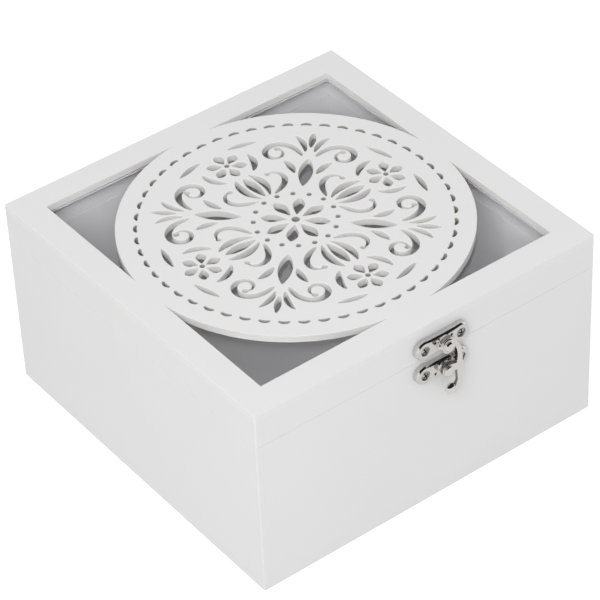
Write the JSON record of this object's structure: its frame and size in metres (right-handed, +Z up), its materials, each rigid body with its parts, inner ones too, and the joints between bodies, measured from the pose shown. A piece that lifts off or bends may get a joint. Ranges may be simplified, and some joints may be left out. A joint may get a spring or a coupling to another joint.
{
  "type": "wedding card box",
  "caption": "Square white keepsake box for cards with a hinged lid of round pierced fretwork over glass, closed by a swing hook on the front.",
  "frame": {"origin": "middle of the box's underside, on the base panel's lower face", "axes": "+Z up, the latched front faces -Y, +X to the right seen from the front"},
  "size_m": [0.2, 0.2127, 0.1077],
  "materials": {
    "painted_board": "satin white paint on fibreboard",
    "painted_base": "matt white paint on thin board",
    "painted_sheet": "satin white paint, cut edges slightly warmer",
    "painted_bead": "satin white paint",
    "window_glass": "clear float glass",
    "hinge_steel": "nickel-plated sheet steel",
    "latch_nickel": "bright nickel plate",
    "screw_steel": "nickel-plated steel"
  },
  "bodies": {
    "body": {"body_front": "painted_board", "body_back": "painted_board", "body_left": "painted_board", "body_right": "painted_board", "base_panel": "painted_base", "hinge_left_body_leaf": "hinge_steel", "hinge_right_body_leaf": "hinge_steel", "hinge_left_pin": "hinge_steel", "hinge_right_pin": "hinge_steel", "hinge_body_screws": "screw_steel", "latch_body_plate": "latch_nickel", "latch_pivot": "latch_nickel", "latch_body_screws": "screw_steel"},
    "lid": {"lid_rail_front": "painted_board", "lid_rail_back": "painted_board", "lid_rail_left": "painted_board", "lid_rail_right": "painted_board", "lid_top_sheet": "painted_sheet", "glass_pane": "window_glass", "bead_front": "painted_bead", "bead_back": "painted_bead", "bead_left": "painted_bead", "bead_right": "painted_bead", "hinge_left_lid_leaf": "hinge_steel", "hinge_right_lid_leaf": "hinge_steel", "hinge_lid_screws": "screw_steel", "latch_lid_plate": "latch_nickel", "latch_post": "latch_nickel", "latch_lid_screws": "screw_steel"},
    "hook": {"latch_hook": "latch_nickel"}
  },
  "joints": [
    {"name": "lid_hinge", "type": "hinge", "parent": "body", "child": "lid", "pos_m": [0, 0.1022, 0.08815], "axis": [-1, 0, 0], "range_deg": [0, 180]},
    {"name": "hook_swing", "type": "hinge", "parent": "body", "child": "hook", "pos_m": [0.0052, -0.1, 0.08075], "axis": [0, 1, 0], "range_deg": [0, 80]}
  ]
}
